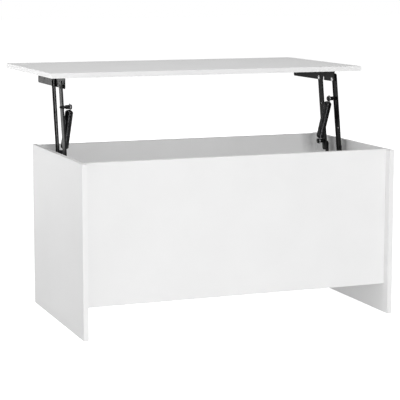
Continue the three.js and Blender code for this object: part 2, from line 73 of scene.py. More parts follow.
# Studio: a wide pale floor under an even white sky, and five broad soft lights. A strong one
# stands in front, weaker ones left, overhead and behind, and a small low one behind the left side.
# Floor and sky each glow apart for the camera, for diffuse light and for reflections.
def soft_light(name, place, target, width, watts, mirrored=True):
    light = bpy.data.lights.new(name, "AREA")
    light.shape = "SQUARE"
    light.size = width
    light.energy = watts
    lamp = bpy.data.objects.new(name, light)
    lamp.location = place
    lamp.rotation_euler = (Vector(target) - Vector(place)).to_track_quat("-Z", "Y").to_euler()
    lamp.visible_camera = False
    lamp.visible_glossy = mirrored
    collection.objects.link(lamp)


def set_sockets(node, **values):
    """Sets a node's inputs by their names, with _ for each space."""
    for name, value in values.items():
        node.inputs[name.replace("_", " ")].default_value = value


def add_node(tree, kind, **values):
    """Adds a node to a tree and sets its inputs."""
    node = tree.nodes.new(kind)
    set_sockets(node, **values)
    return node


def by_ray(tree, ray, otherwise, when):
    """Mixes two shaders: the second one shows to the named kind of ray."""
    path = tree.nodes.new("ShaderNodeLightPath")
    mix = tree.nodes.new("ShaderNodeMixShader")
    tree.links.new(path.outputs[ray], mix.inputs["Fac"])
    tree.links.new(otherwise, mix.inputs[1])
    tree.links.new(when, mix.inputs[2])
    return mix.outputs[0]


def white_sky(seen, ambient, reflected):
    """An even sky: its brightness as the camera sees it, as diffuse light, and in reflections."""
    world = bpy.data.worlds.new("studio")
    world.use_nodes = True
    tree = world.node_tree
    tree.nodes.clear()
    white = (1.0, 1.0, 1.0, 1.0)
    camera_shade, diffuse_shade, mirror_shade = (
        add_node(tree, "ShaderNodeBackground", Color=white, Strength=strength).outputs[0]
        for strength in (seen, ambient, reflected)
    )
    unseen = by_ray(tree, "Is Glossy Ray", diffuse_shade, mirror_shade)
    output = tree.nodes.new("ShaderNodeOutputWorld")
    tree.links.new(by_ray(tree, "Is Camera Ray", unseen, camera_shade), output.inputs["Surface"])
    bpy.context.scene.world = world


def pale_floor(half_width, drop, seen, glow, reflected):
    """A matt floor just under the boards, glowing apart for camera, diffuse light and mirrors."""
    mesh = bpy.data.meshes.new("floor")
    corners = [
        (x * half_width, y * half_width, -drop) for x, y in ((-1, -1), (1, -1), (1, 1), (-1, 1))
    ]
    mesh.from_pydata(corners, [], [(0, 1, 2, 3)])
    paint = bpy.data.materials.new("floor_paint")
    paint.use_nodes = True
    tree = paint.node_tree
    shader = tree.nodes["Principled BSDF"]
    set_sockets(
        shader, Base_Color=(0.86, 0.86, 0.86, 1.0), Roughness=0.8, Specular_IOR_Level=0.1,
        Emission_Color=(1.0, 1.0, 1.0, 1.0),
    )
    path = tree.nodes.new("ShaderNodeLightPath")
    strength = add_node(tree, "ShaderNodeMapRange", To_Min=glow, To_Max=seen)
    tree.links.new(path.outputs["Is Camera Ray"], strength.inputs["Value"])
    tree.links.new(strength.outputs["Result"], shader.inputs["Emission Strength"])
    mirrored = add_node(tree, "ShaderNodeEmission", Strength=reflected)
    surface = by_ray(tree, "Is Glossy Ray", shader.outputs[0], mirrored.outputs[0])
    tree.links.new(surface, tree.nodes["Material Output"].inputs["Surface"])
    mesh.materials.append(paint)
    floor = bpy.data.objects.new("floor", mesh)
    collection.objects.link(floor)


bpy.context.scene.view_settings.view_transform = "Standard"
white_sky(seen=1.0, ambient=0.3, reflected=0.1)
pale_floor(half_width=30.0, drop=0.0004, seen=0.8, glow=0.3, reflected=0.05)
soft_light("front_light", (-0.5, -6.4, 2.4), (0.0, 0.0, 0.5), 2.2, 174.0)
soft_light("left_light", (-4.5, -0.6, 1.1), (0.0, 0.0, 0.5), 1.5, 38.0)
soft_light("overhead_light", (-0.4, -0.4, 3.4), (0.0, 0.0, 0.4), 2.4, 43.0)
soft_light("rear_light", (2.2, 4.4, 2.4), (0.0, 0.0, 0.5), 2.0, 60.0, mirrored=False)
soft_light("low_back_light", (-1.2, 2.0, 0.35), (-0.46, 0.0, 0.6), 0.8, 6.0)


# Boards: 15 mm chipboard faced with white melamine. Each board that shows an edge has 1 mm plastic
# banding glued round it, so a hairline seam runs beside every banded edge.
BANDING = 0.001
BAND_ROUNDING = 0.0003
FACE_ROUNDING = 0.0001


def node_group(name, kind, inputs, outputs):
    """A new node group with its sockets, each (name, type), and its entry and exit nodes."""
    group = bpy.data.node_groups.new(name, kind)
    for way, sockets in (("INPUT", inputs), ("OUTPUT", outputs)):
        for label, data in sockets:
            group.interface.new_socket(name=label, in_out=way, socket_type="NodeSocket" + data)
    return group, group.nodes.new("NodeGroupInput"), group.nodes.new("NodeGroupOutput")


def surface_grain():
    """Shader group: fine texture and broad patches over a surface, in its own coordinates."""
    group, entry, leaving = node_group(
        "surface_grain", "ShaderNodeTree", (("Grain Scale", "Float"), ("Patch Scale", "Float")),
        (("Height", "Float"), ("Patches", "Float")),
    )
    place = group.nodes.new("ShaderNodeTexCoord")
    for scale, detail, out in (("Grain Scale", 3.0, "Height"), ("Patch Scale", 2.0, "Patches")):
        noise = add_node(group, "ShaderNodeTexNoise", Detail=detail)
        group.links.new(place.outputs["Object"], noise.inputs["Vector"])
        group.links.new(entry.outputs[scale], noise.inputs["Scale"])
        group.links.new(noise.outputs["Fac"], leaving.inputs[out])
    return group


def grained_finish(name, dark, light, roughness, grain, patch, depth, **settings):
    """A material whose colour and roughness drift between two values, with a fine bump of depth."""
    finish = bpy.data.materials.new(name)
    finish.use_nodes = True
    tree, links = finish.node_tree, finish.node_tree.links
    shader = tree.nodes["Principled BSDF"]
    set_sockets(shader, **settings)
    texture = tree.nodes.new("ShaderNodeGroup")
    texture.node_tree = grain_group
    set_sockets(texture, Grain_Scale=1.0 / grain, Patch_Scale=1.0 / patch)
    tone = tree.nodes.new("ShaderNodeMix")
    tone.name = "tone"
    tone.data_type = "RGBA"
    set_sockets(tone, A=(*dark, 1.0), B=(*light, 1.0))
    gloss = add_node(tree, "ShaderNodeMapRange", To_Min=roughness[0], To_Max=roughness[1])
    bump = add_node(tree, "ShaderNodeBump", Distance=depth)
    bump.name = "bump"
    links.new(texture.outputs["Patches"], tone.inputs["Factor"])
    links.new(texture.outputs["Patches"], gloss.inputs["Value"])
    links.new(texture.outputs["Height"], bump.inputs["Height"])
    links.new(tone.outputs["Result"], shader.inputs["Base Color"])
    links.new(gloss.outputs["Result"], shader.inputs["Roughness"])
    links.new(bump.outputs["Normal"], shader.inputs["Normal"])
    return finish


def band_finish():
    """Extruded plastic banding, scraped flush: very fine lines run along each strip."""
    finish = grained_finish(
        "edge_banding", (0.79, 0.79, 0.79), (0.83, 0.83, 0.83), (0.32, 0.42), 0.0009, 0.08, 0.00001,
        Specular_IOR_Level=0.35,
    )
    tree, links = finish.node_tree, finish.node_tree.links
    along = tree.nodes.new("ShaderNodeUVMap")
    along.uv_map = "strip"
    squeeze = add_node(tree, "ShaderNodeMapping", Scale=(12.0, 4200.0, 1.0))
    lines = add_node(tree, "ShaderNodeTexNoise", Scale=1.0, Detail=1.0)
    links.new(along.outputs["UV"], squeeze.inputs["Vector"])
    links.new(squeeze.outputs["Vector"], lines.inputs["Vector"])
    links.new(lines.outputs["Fac"], tree.nodes["bump"].inputs["Height"])
    return finish


def rounded_box(bm, low, high, rounding, segments=3):
    """Adds a box with softened edges, and lays its strip UVs along its longest side."""
    before = set(bm.faces)
    size = [b - a for a, b in zip(low, high)]
    middle = [(a + b) / 2 for a, b in zip(low, high)]
    place = Matrix.Translation(middle) @ Matrix.Diagonal((*size, 1.0))
    verts = bmesh.ops.create_cube(bm, size=1.0, matrix=place)["verts"]
    edges = list({edge for vert in verts for edge in vert.link_edges})
    bmesh.ops.bevel(
        bm, geom=edges, offset=rounding, segments=segments, profile=0.5, affect="EDGES",
    )
    longest = size.index(max(size))
    others = [axis for axis in range(3) if axis != longest]
    strip = bm.loops.layers.uv.get("strip") or bm.loops.layers.uv.new("strip")
    for face in set(bm.faces) - before:
        for loop in face.loops:
            point = loop.vert.co
            loop[strip].uv = (point[longest], point[others[0]] + point[others[1]])


def mesh_piece(name, bm_or_mesh, finish, smooth_below=None):
    """Links a named object with one finish. Edges bent less than smooth_below degrees look soft."""
    mesh = bm_or_mesh
    if isinstance(bm_or_mesh, bmesh.types.BMesh):
        mesh = bpy.data.meshes.new(name)
        bm_or_mesh.to_mesh(mesh)
        bm_or_mesh.free()
    mesh.name = name
    mesh.materials.clear()
    mesh.materials.append(finish)
    if smooth_below is not None:
        mesh.shade_smooth()
        mesh.set_sharp_from_angle(angle=math.radians(smooth_below))
    piece = bpy.data.objects.new(name, mesh)
    collection.objects.link(piece)
    return piece


def evaluated_mesh(holder):
    """The mesh that an object's modifiers make. The object itself is then deleted."""
    depsgraph = bpy.context.evaluated_depsgraph_get()
    mesh = bpy.data.meshes.new_from_object(holder.evaluated_get(depsgraph), depsgraph=depsgraph)
    bpy.data.objects.remove(holder)
    return mesh


def cut_away(bm, tools):
    """The shape in bm less the closed shapes in tools, as a mesh."""
    holder = mesh_piece("cut_body", bm, white_melamine)
    cutter = mesh_piece("cut_tool", tools, white_melamine)
    boolean = holder.modifiers.new("cut", "BOOLEAN")
    boolean.operation = "DIFFERENCE"
    boolean.solver = "EXACT"
    boolean.object = cutter
    mesh = evaluated_mesh(holder)
    bpy.data.objects.remove(cutter)
    return mesh


def faced_board(name, node, body, banded, bores=None):
    """A board in its node's place. banded lists its banded edges, (axis, end), outermost first."""
    low, high = (list(corner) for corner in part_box(node))
    bands = bmesh.new()
    for axis, end in banded:
        strip_low, strip_high = list(low), list(high)
        if end > 0:
            strip_low[axis] = high[axis] = high[axis] - BANDING
        else:
            strip_high[axis] = low[axis] = low[axis] + BANDING
        rounded_box(bands, strip_low, strip_high, BAND_ROUNDING)
    core = bmesh.new()
    rounded_box(core, low, high, FACE_ROUNDING, segments=2)
    board = mesh_piece(name, cut_away(core, bores) if bores else core, white_melamine)
    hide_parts(node)
    if banded:
        banding = mesh_piece(name + "_banding", bands, white_banding)
        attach(banding, body)
    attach(board, body)


def cam_bores(panel, inward):
    """Round pockets for the four cams of a panel, open at the face on its inward side along y."""
    tools = bmesh.new()
    for i in range(1, 5):
        low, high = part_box(f"{panel}_cam_{i}")
        radius = (high.x - low.x) / 2 + CAM_PLAY
        reach = (high.y - low.y) + 2 * CAM_PLAY
        shift = Vector((0, inward * CAM_PLAY, 0))
        place = Matrix.Translation((low + high) / 2 + shift) @ Matrix.Rotation(math.pi / 2, 4, "X")
        bmesh.ops.create_cone(
            tools, cap_ends=True, segments=CAM_SIDES, radius1=radius, radius2=radius, depth=reach,
            matrix=place,
        )
    return tools


X, Y, Z = 0, 1, 2
CAM_PLAY = 0.0003  # round each cam in its bore
CAM_SIDES = 48
grain_group = surface_grain()
white_melamine = grained_finish(
    "white_melamine", (0.775, 0.775, 0.775), (0.81, 0.81, 0.81), (0.46, 0.56), 0.0012, 0.11,
    0.000012, Specular_IOR_Level=0.3,
)
white_banding = band_finish()
all_round_z = [(Y, -1), (Y, 1), (X, -1), (X, 1)]
all_round_x = [(Z, 1), (Z, -1), (Y, -1), (Y, 1)]
top_and_bottom = [(Z, 1), (Z, -1)]
faced_board("top_board", "lift_top", "top", all_round_z)
faced_board("left_side_board", "left_side_panel", "box", all_round_x)
faced_board("right_side_board", "right_side_panel", "box", all_round_x)
faced_board("front_board", "front_panel", "box", top_and_bottom, cam_bores("front_panel", 1))
faced_board("back_board", "back_panel", "box", top_and_bottom, cam_bores("back_panel", -1))
faced_board("floor_board", "bottom_panel", "box", [])


# Cam fittings: zinc castings that pull the front and back panels to the sides. Each disc lies flush
# in its bore, with a softened rim, a cross recess for the driver and an arrow notch at its edge.
def circle(bm, radius, height, count):
    """Adds a ring of vertices about Z, and returns it."""
    turns = [2 * math.pi * i / count for i in range(count)]
    return [
        bm.verts.new((radius * math.cos(turn), radius * math.sin(turn), height)) for turn in turns
    ]


def turned(profile, segments):
    """A closed turned shape about Z from (radius, height) points, lowest first, ends on axis."""
    bm = bmesh.new()
    rings = [
        circle(bm, radius, height, segments if radius > 0 else 1) for radius, height in profile
    ]
    for lower, upper in zip(rings, rings[1:]):
        for i in range(segments):
            corners = [lower[i % len(lower)], lower[(i + 1) % len(lower)]]
            corners += [upper[(i + 1) % len(upper)], upper[i % len(upper)]]
            bm.faces.new(list(dict.fromkeys(corners)))
    return bm


def fastener_tree():
    """Geometry Nodes: sets one fastener on each point, along the point's facing, then rolls it."""
    tree, entry, leaving = node_group(
        "set_fasteners", "GeometryNodeTree",
        (
            ("Geometry", "Geometry"), ("Fastener", "Object"), ("Largest Roll", "Float"),
            ("Seed", "Int"), ("Finish", "Material"),
        ),
        (("Geometry", "Geometry"),),
    )
    nodes, links = tree.nodes, tree.links
    facing = nodes.new("GeometryNodeInputNamedAttribute")
    facing.data_type = "FLOAT_VECTOR"
    set_sockets(facing, Name="facing")
    align = nodes.new("FunctionNodeAlignRotationToVector")
    align.axis = "Z"
    roll = nodes.new("FunctionNodeRandomValue")
    roll.data_type = "FLOAT"
    turn = add_node(tree, "FunctionNodeAxisAngleToRotation", Axis=(0.0, 0.0, 1.0))
    rolled = nodes.new("FunctionNodeRotateRotation")
    rolled.rotation_space = "LOCAL"
    shape = nodes.new("GeometryNodeObjectInfo")
    setter = nodes.new("GeometryNodeInstanceOnPoints")
    realize = nodes.new("GeometryNodeRealizeInstances")
    material = nodes.new("GeometryNodeSetMaterial")
    vector = next(s for s in facing.outputs if s.name == "Attribute" and s.enabled)
    largest = next(s for s in roll.inputs if s.name == "Max" and s.enabled)
    links.new(vector, align.inputs["Vector"])
    links.new(entry.outputs["Largest Roll"], largest)
    links.new(entry.outputs["Seed"], roll.inputs["Seed"])
    links.new(next(s for s in roll.outputs if s.enabled), turn.inputs["Angle"])
    links.new(align.outputs["Rotation"], rolled.inputs["Rotation"])
    links.new(turn.outputs["Rotation"], rolled.inputs["Rotate By"])
    links.new(entry.outputs["Fastener"], shape.inputs["Object"])
    links.new(entry.outputs["Geometry"], setter.inputs["Points"])
    links.new(shape.outputs["Geometry"], setter.inputs["Instance"])
    links.new(rolled.outputs["Rotation"], setter.inputs["Rotation"])
    links.new(setter.outputs["Instances"], realize.inputs["Geometry"])
    links.new(realize.outputs["Geometry"], material.inputs["Geometry"])
    links.new(entry.outputs["Finish"], material.inputs["Material"])
    links.new(material.outputs["Geometry"], leaving.inputs["Geometry"])
    return tree


def set_inputs(modifier, **values):
    """Sets a Geometry Nodes modifier's inputs by their names."""
    items = modifier.node_group.interface.items_tree
    sockets = {item.name: item.identifier for item in items if item.in_out == "INPUT"}
    for name, value in values.items():
        modifier[sockets[name.replace("_", " ")]] = value


def fasteners(name, template, places, finish, body, nodes, seed=0, largest_roll=0.0):
    """One piece made of the template set at each (point, facing) place, standing for CAD nodes."""
    points = bpy.data.meshes.new(name)
    points.from_pydata([point for point, _ in places], [], [])
    facing = points.attributes.new("facing", "FLOAT_VECTOR", "POINT")
    facing.data.foreach_set("vector", [value for _, way in places for value in way])
    holder = bpy.data.objects.new(name, points)
    collection.objects.link(holder)
    tree = holder.modifiers.new("set", "NODES")
    tree.node_group = fastener_group
    set_inputs(tree, Fastener=template, Largest_Roll=largest_roll, Seed=seed, Finish=finish)
    piece = mesh_piece(name, evaluated_mesh(holder), finish, smooth_below=SOFT_SHADED)
    bpy.data.objects.remove(template)
    if nodes:
        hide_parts(*nodes)
    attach(piece, body)


def driver_cross(width, length, low, high, rounding):
    """The two crossed slots that a driver fits, as closed shapes between two heights."""
    tools = bmesh.new()
    for across, up in ((width, length), (length, width)):
        rounded_box(tools, (-across / 2, -up / 2, low), (across / 2, up / 2, high), rounding, 2)
    return tools


def cam_template(radius, depth):
    """A cam standing on Z: its face is at height 0 and its body hangs below."""
    rim, cross_sunk, notch = 0.0005, 0.0022, 0.0012
    body = turned([
        (0.0, -depth), (radius - rim, -depth), (radius, -depth + rim), (radius, -rim),
        (radius - rim * 0.3, -rim * 0.3), (radius - rim, 0.0), (0.0, 0.0),
    ], CAM_SIDES)
    tools = driver_cross(0.0015, 0.0085, -cross_sunk, cross_sunk, 0.0002)
    place = Matrix.Translation((0, radius - notch, 0)) @ Matrix.Rotation(math.radians(90), 4, "Z")
    bmesh.ops.create_cone(
        tools, cap_ends=True, segments=3, radius1=notch, radius2=notch, depth=0.0008, matrix=place,
    )
    return mesh_piece("cam_template", cut_away(body, tools), zinc_casting)


SOFT_SHADED = 38  # degrees: edges bent less than this look smooth
fastener_group = fastener_tree()
zinc_casting = grained_finish(
    "zinc_casting", (0.36, 0.36, 0.35), (0.5, 0.5, 0.49), (0.38, 0.58), 0.0004, 0.004, 0.00002,
    Metallic=1.0,
)
for panel, end in (("front_panel", 1), ("back_panel", -1)):
    cams = [f"{panel}_cam_{i}" for i in range(1, 5)]
    cam_low, cam_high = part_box(cams[0])
    cam_radius = (cam_high.x - cam_low.x) / 2
    cam_places = []
    for cam in cams:
        low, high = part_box(cam)
        face_y = high.y if end > 0 else low.y
        cam_places.append((((low.x + high.x) / 2, face_y, (low.z + high.z) / 2), (0.0, end, 0.0)))
    fasteners(
        panel + "_cams", cam_template(cam_radius, cam_high.y - cam_low.y), cam_places, zinc_casting,
        "box", cams, seed=3, largest_roll=0.5,
    )


# Base brackets: each is pressed from one 2 mm sheet. A plate screws to the side board, a shelf
# turns in from it, and two ears stand up from the shelf to carry the lower pivots.
SHEET = 0.002
RIM = 0.0003  # softened edge of cut sheet
BEND_RADIUS = 0.003  # at the middle of the sheet
BEND_STEPS = 5
SHELF_BELOW_PIVOTS = 0.03243
EAR_HALF_WIDTH = 0.0105
HOLE_SIDES = 32
MICRON = 0.000001


def rounded_outline(corners, steps=6):
    """A closed outline from counterclockwise (x, y, radius) corners, with an arc at each corner."""
    outline = []
    for i, (x, y, radius) in enumerate(corners):
        here = Vector((x, y))
        before = (Vector(corners[i - 1][:2]) - here).normalized()
        after = (Vector(corners[(i + 1) % len(corners)][:2]) - here).normalized()
        if radius == 0:
            outline.append(here)
            continue
        half = before.angle(after) / 2
        reach = radius / math.tan(half)
        centre = here + (before + after).normalized() * (radius / math.sin(half))
        start = (here + before * reach - centre).normalized()
        end = (here + after * reach - centre).normalized()
        for step in range(steps + 1):
            outline.append(centre + start.slerp(end, step / steps) * radius)
    return outline


def inset(outline, distance):
    """A counterclockwise outline moved inwards by distance, held back at sharp corners."""
    sharpest = 0.3
    moved = []
    for i, here in enumerate(outline):
        back = (here - outline[i - 1]).normalized()
        on = (outline[(i + 1) % len(outline)] - here).normalized()
        normals = [Vector((-way.y, way.x)) for way in (back, on)]
        middle = (normals[0] + normals[1]).normalized()
        moved.append(here + middle * distance / max(sharpest, middle.dot(normals[0])))
    return moved


def stacked(rings):
    """A closed shape through rings of equal count, each (outline, height), with flat ends."""
    bm = bmesh.new()
    loops = [[bm.verts.new((*point, height)) for point in outline] for outline, height in rings]
    count = len(loops[0])
    for lower, upper in zip(loops, loops[1:]):
        for i in range(count):
            bm.faces.new((lower[i], lower[(i + 1) % count], upper[(i + 1) % count], upper[i]))
    bm.faces.new(list(reversed(loops[0])))
    bm.faces.new(loops[-1])
    return bm


def flat_sheet(outline, thickness, holes):
    """A flat plate about height 0 with softened rims and round holes, each (x, y, radius)."""
    half = thickness / 2
    rings = []
    for depth, height in ((RIM, -half), (RIM * 0.3, -half + RIM * 0.3), (0.0, -half + RIM)):
        rings.append((inset(outline, depth), height))
    rings += [(points, -height) for points, height in reversed(rings)]
    return drilled(stacked(rings), half, holes)


def add_shape(bm, other):
    """Adds another shape to bm, and frees it."""
    mesh = bpy.data.meshes.new("shape")
    other.to_mesh(mesh)
    other.free()
    bm.from_mesh(mesh)


def drilled(bm, half, holes):
    """Cuts round holes with softened rims through a plate that reaches half above and below 0."""
    tools = bmesh.new()
    for x, y, radius in holes:
        wide = radius + RIM
        drill = turned([
            (0.0, -2 * half), (wide + half, -2 * half), (wide, -half), (radius, -half + RIM),
            (radius, half - RIM), (wide, half), (wide + half, 2 * half), (0.0, 2 * half),
        ], HOLE_SIDES)
        drill.transform(Matrix.Translation((x, y, 0)))
        add_shape(tools, drill)
    made = bmesh.new()
    made.from_mesh(cut_away(bm, tools))
    return made


def bent(point, way, radius, angle, share=1.0):
    """Where a share of an arc leads to from a point, and the way it then heads."""
    centre = point + Vector((-way.y, way.x)) * radius * math.copysign(1, angle)
    turn = Matrix.Rotation(angle * share, 2)
    return centre + turn @ (point - centre), turn @ way


def folded(bm, start, heading, runs):
    """Folds a flat sheet. Along its y it follows runs, each (length, 0) or (radius, degrees).
    Its x becomes world y, and start and heading are in the world's (x, z) plane."""
    legs, at, point, way = [], 0.0, Vector(start), Vector(heading)
    for size, turn in runs:
        angle = math.radians(turn)
        length = size if turn == 0 else size * abs(angle)
        legs.append((at, length, point.copy(), way.copy(), size, angle))
        if turn == 0:
            point = point + way * length
        else:
            point, way = bent(point, way, size, angle)
            for step in range(BEND_STEPS + 1):
                bmesh.ops.bisect_plane(
                    bm, geom=bm.verts[:] + bm.edges[:] + bm.faces[:],
                    plane_co=(0, at + length * step / BEND_STEPS, 0), plane_no=(0, 1, 0),
                )
        at += length
    hair = 1e-9  # a point on a fold line belongs to the run that starts there
    for vert in bm.verts:
        along, off = vert.co.y, vert.co.z
        reached = [leg for leg in legs if leg[0] <= along + hair] or legs[:1]
        at, length, point, way, size, angle = reached[-1]
        past = along - at
        if angle:
            point, way = bent(point, way, size, angle, min(past / length, 1.0))
            past = max(past - length, 0.0)
        place = point + way * past + Vector((-way.y, way.x)) * off
        vert.co = Vector((place.x, vert.co.x, place.y))
    bmesh.ops.dissolve_degenerate(bm, dist=2 * MICRON, edges=bm.edges[:])
    bmesh.ops.recalc_face_normals(bm, faces=bm.faces[:])
    if bm.calc_volume(signed=True) < 0:
        bmesh.ops.reverse_faces(bm, faces=bm.faces[:])
    return bm


def steel_piece(name, bm, side, body, node, finish):
    """Finishes a right hand steel part: mirrored for the left side, with flat faces shaded flat."""
    mesh = bpy.data.meshes.new(name)
    bm.to_mesh(mesh)
    bm.free()
    if side == "left":
        mesh.transform(Matrix.Scale(-1.0, 4, (1, 0, 0)))
        mesh.flip_normals()
    holder = mesh_piece(name, mesh, finish, smooth_below=SOFT_SHADED)
    holder.modifiers.new("even_faces", "WEIGHTED_NORMAL").keep_sharp = True
    piece = mesh_piece(name, evaluated_mesh(holder), finish)
    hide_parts(node)
    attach(piece, body)


def edge_wear():
    """Shader group: a broken mask along raised edges, where paint has rubbed thin."""
    group, entry, leaving = node_group(
        "edge_wear", "ShaderNodeTree", (("Amount", "Float"), ("Break Up Scale", "Float")),
        (("Mask", "Float"),),
    )
    nodes, links = group.nodes, group.links
    geometry = nodes.new("ShaderNodeNewGeometry")
    edge = add_node(group, "ShaderNodeMapRange", From_Min=0.52, From_Max=0.62)
    place = nodes.new("ShaderNodeTexCoord")
    noise = add_node(group, "ShaderNodeTexNoise", Detail=4.0)
    broken = add_node(group, "ShaderNodeMapRange", From_Min=0.45, From_Max=0.65)
    both, scaled = nodes.new("ShaderNodeMath"), nodes.new("ShaderNodeMath")
    both.operation = scaled.operation = "MULTIPLY"
    links.new(geometry.outputs["Pointiness"], edge.inputs["Value"])
    links.new(place.outputs["Object"], noise.inputs["Vector"])
    links.new(entry.outputs["Break Up Scale"], noise.inputs["Scale"])
    links.new(noise.outputs["Fac"], broken.inputs["Value"])
    links.new(edge.outputs["Result"], both.inputs[0])
    links.new(broken.outputs["Result"], both.inputs[1])
    links.new(both.outputs["Value"], scaled.inputs[0])
    links.new(entry.outputs["Amount"], scaled.inputs[1])
    links.new(scaled.outputs["Value"], leaving.inputs["Mask"])
    return group


def black_paint():
    """Baked black paint on steel: satin, faintly grained, a little lighter where edges rub."""
    finish = grained_finish(
        "black_paint", (0.004, 0.004, 0.0042), (0.009, 0.009, 0.0095), (0.36, 0.48), 0.0007, 0.02,
        0.00002, Specular_IOR_Level=0.15,
    )
    tree, links = finish.node_tree, finish.node_tree.links
    wear = tree.nodes.new("ShaderNodeGroup")
    wear.node_tree = edge_wear()
    set_sockets(wear, Amount=0.5, Break_Up_Scale=260.0)
    rubbed = tree.nodes.new("ShaderNodeMix")
    rubbed.data_type = "RGBA"
    set_sockets(rubbed, B=(0.05, 0.05, 0.052, 1.0))
    links.new(tree.nodes["tone"].outputs["Result"], rubbed.inputs["A"])
    links.new(wear.outputs["Mask"], rubbed.inputs["Factor"])
    links.new(rubbed.outputs["Result"], tree.nodes["Principled BSDF"].inputs["Base Color"])
    return finish


painted_steel = black_paint()
lower_pivots = {
    arm: Vector(next(j["pos_m"] for j in frame["joints"] if j["name"] == joint))
    for arm, joint in (("front", "right_front_arm_pivot"), ("rear", "right_rear_arm_pivot"))
}


def base_bracket():
    """The flat blank of plate, shelf and ears, folded into place on the right hand side."""
    low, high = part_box("right_base_bracket")
    pivot_z = lower_pivots["front"].z
    shelf_z = pivot_z - SHELF_BELOW_PIVOTS - SHEET / 2
    plate_x, ear_x = high.x - SHEET / 2, low.x + SHEET / 2
    bend = BEND_RADIUS * math.pi / 2
    rise = shelf_z - BEND_RADIUS - low.z
    across = plate_x - ear_x - 2 * BEND_RADIUS
    shelf_end = rise + bend + across
    ear_foot = shelf_end + bend
    ear_top = ear_foot + pivot_z - (shelf_z + BEND_RADIUS) + EAR_HALF_WIDTH
    shelf_setback = 0.008  # the shelf is this much shorter than the plate at each end
    plate_top = rise - 0.001
    plate_foot, plate_shoulder, shelf_corner = 0.008, 0.006, 0.002
    ear_root, ear_round = 0.0015, 0.0104
    outline = [
        (low.y, 0.0, plate_foot), (high.y, 0.0, plate_foot), (high.y, plate_top, plate_shoulder),
        (high.y - shelf_setback, plate_top, 0.0), (high.y - shelf_setback, shelf_end, shelf_corner),
    ]
    for pivot in (lower_pivots["rear"].y, lower_pivots["front"].y):
        rear, front = pivot + EAR_HALF_WIDTH, pivot - EAR_HALF_WIDTH
        outline += [
            (rear, shelf_end, ear_root), (rear, ear_top, ear_round),
            (front, ear_top, ear_round), (front, shelf_end, ear_root),
        ]
    outline += [
        (low.y + shelf_setback, shelf_end, shelf_corner), (low.y + shelf_setback, plate_top, 0.0),
        (low.y, plate_top, plate_shoulder),
    ]
    spare_hole = 0.0025
    holes = [(low.y + share * (high.y - low.y), rise / 2, spare_hole) for share in (0.3, 0.7)]
    sheet = flat_sheet(rounded_outline(outline), SHEET, holes)
    runs = [(rise, 0), (BEND_RADIUS, 90), (across, 0), (BEND_RADIUS, -90), (ear_top - ear_foot, 0)]
    return folded(sheet, (plate_x, low.z), (0.0, 1.0), runs)


for side in ("left", "right"):
    steel_piece(
        f"{side}_base_plate", base_bracket(), side, "box", f"{side}_base_bracket", painted_steel,
    )


# Top brackets: a long pressed angle under each end of the top. Its flange screws to the board, its
# web carries the upper pivots, and a notch in the web lets the spring bolt in when the top is down.
def top_bracket():
    """The flat blank of flange and notched web, folded into place on the right hand side."""
    low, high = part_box("right_top_bracket")
    web_x, flange_z = high.x - SHEET / 2, high.z - SHEET / 2
    flange = web_x - low.x - BEND_RADIUS
    web = flange_z - BEND_RADIUS - low.z
    whole = flange + BEND_RADIUS * math.pi / 2 + web
    flange_corner, web_corner = 0.005, 0.006
    notch_half, notch_depth, notch_corner, notch_mouth = 0.0039, 0.0124, 0.0038, 0.001
    notch_from_front = 0.07896
    notch_y = low.y + notch_from_front
    notch_top = whole - notch_depth
    outline = [
        (low.y, 0.0, flange_corner), (high.y, 0.0, flange_corner), (high.y, whole, web_corner),
        (notch_y + notch_half, whole, notch_mouth), (notch_y + notch_half, notch_top, notch_corner),
        (notch_y - notch_half, notch_top, notch_corner), (notch_y - notch_half, whole, notch_mouth),
        (low.y, whole, web_corner),
    ]
    spare_hole, spare_above_edge = 0.0026, 0.019
    holes = [(high.y - back, whole - spare_above_edge, spare_hole) for back in (0.018, 0.075)]
    sheet = flat_sheet(rounded_outline(outline), SHEET, holes)
    runs = [(flange, 0), (BEND_RADIUS, -90), (web, 0)]
    return folded(sheet, (low.x, flange_z), (1.0, 0.0), runs)


for side in ("left", "right"):
    steel_piece(
        f"{side}_top_angle", top_bracket(), side, "top", f"{side}_top_bracket", painted_steel,
    )


# Arms: four pressed channels with rounded ends, two a side. The front arm is the outer one and
# opens inwards, the rear arm is the inner one and opens outwards, so they fold past each other.
def channel(length_from, length_to, half_width, depth, wall, corner, bend):
    """A pressed pan lying along y, its flat back at height 0 and its rim at height depth."""
    outline = rounded_outline([
        (-half_width, length_from, corner), (half_width, length_from, corner),
        (half_width, length_to, corner), (-half_width, length_to, corner),
    ])
    quarter = [math.pi / 2 * step / 4 for step in range(5)]
    rings = [(bend * (1 - math.sin(a)), bend * (1 - math.cos(a))) for a in quarter]
    rings += [(0.0, depth - RIM), (RIM * 0.3, depth - RIM * 0.3), (RIM, depth)]
    rings += [(wall - RIM, depth), (wall - RIM * 0.3, depth - RIM * 0.3), (wall, depth - RIM)]
    fillet = bend / 2
    rings += [
        (wall + fillet * (1 - math.cos(a)), wall + fillet * (1 - math.sin(a))) for a in quarter
    ]
    return stacked([(inset(outline, off), height) for off, height in rings])


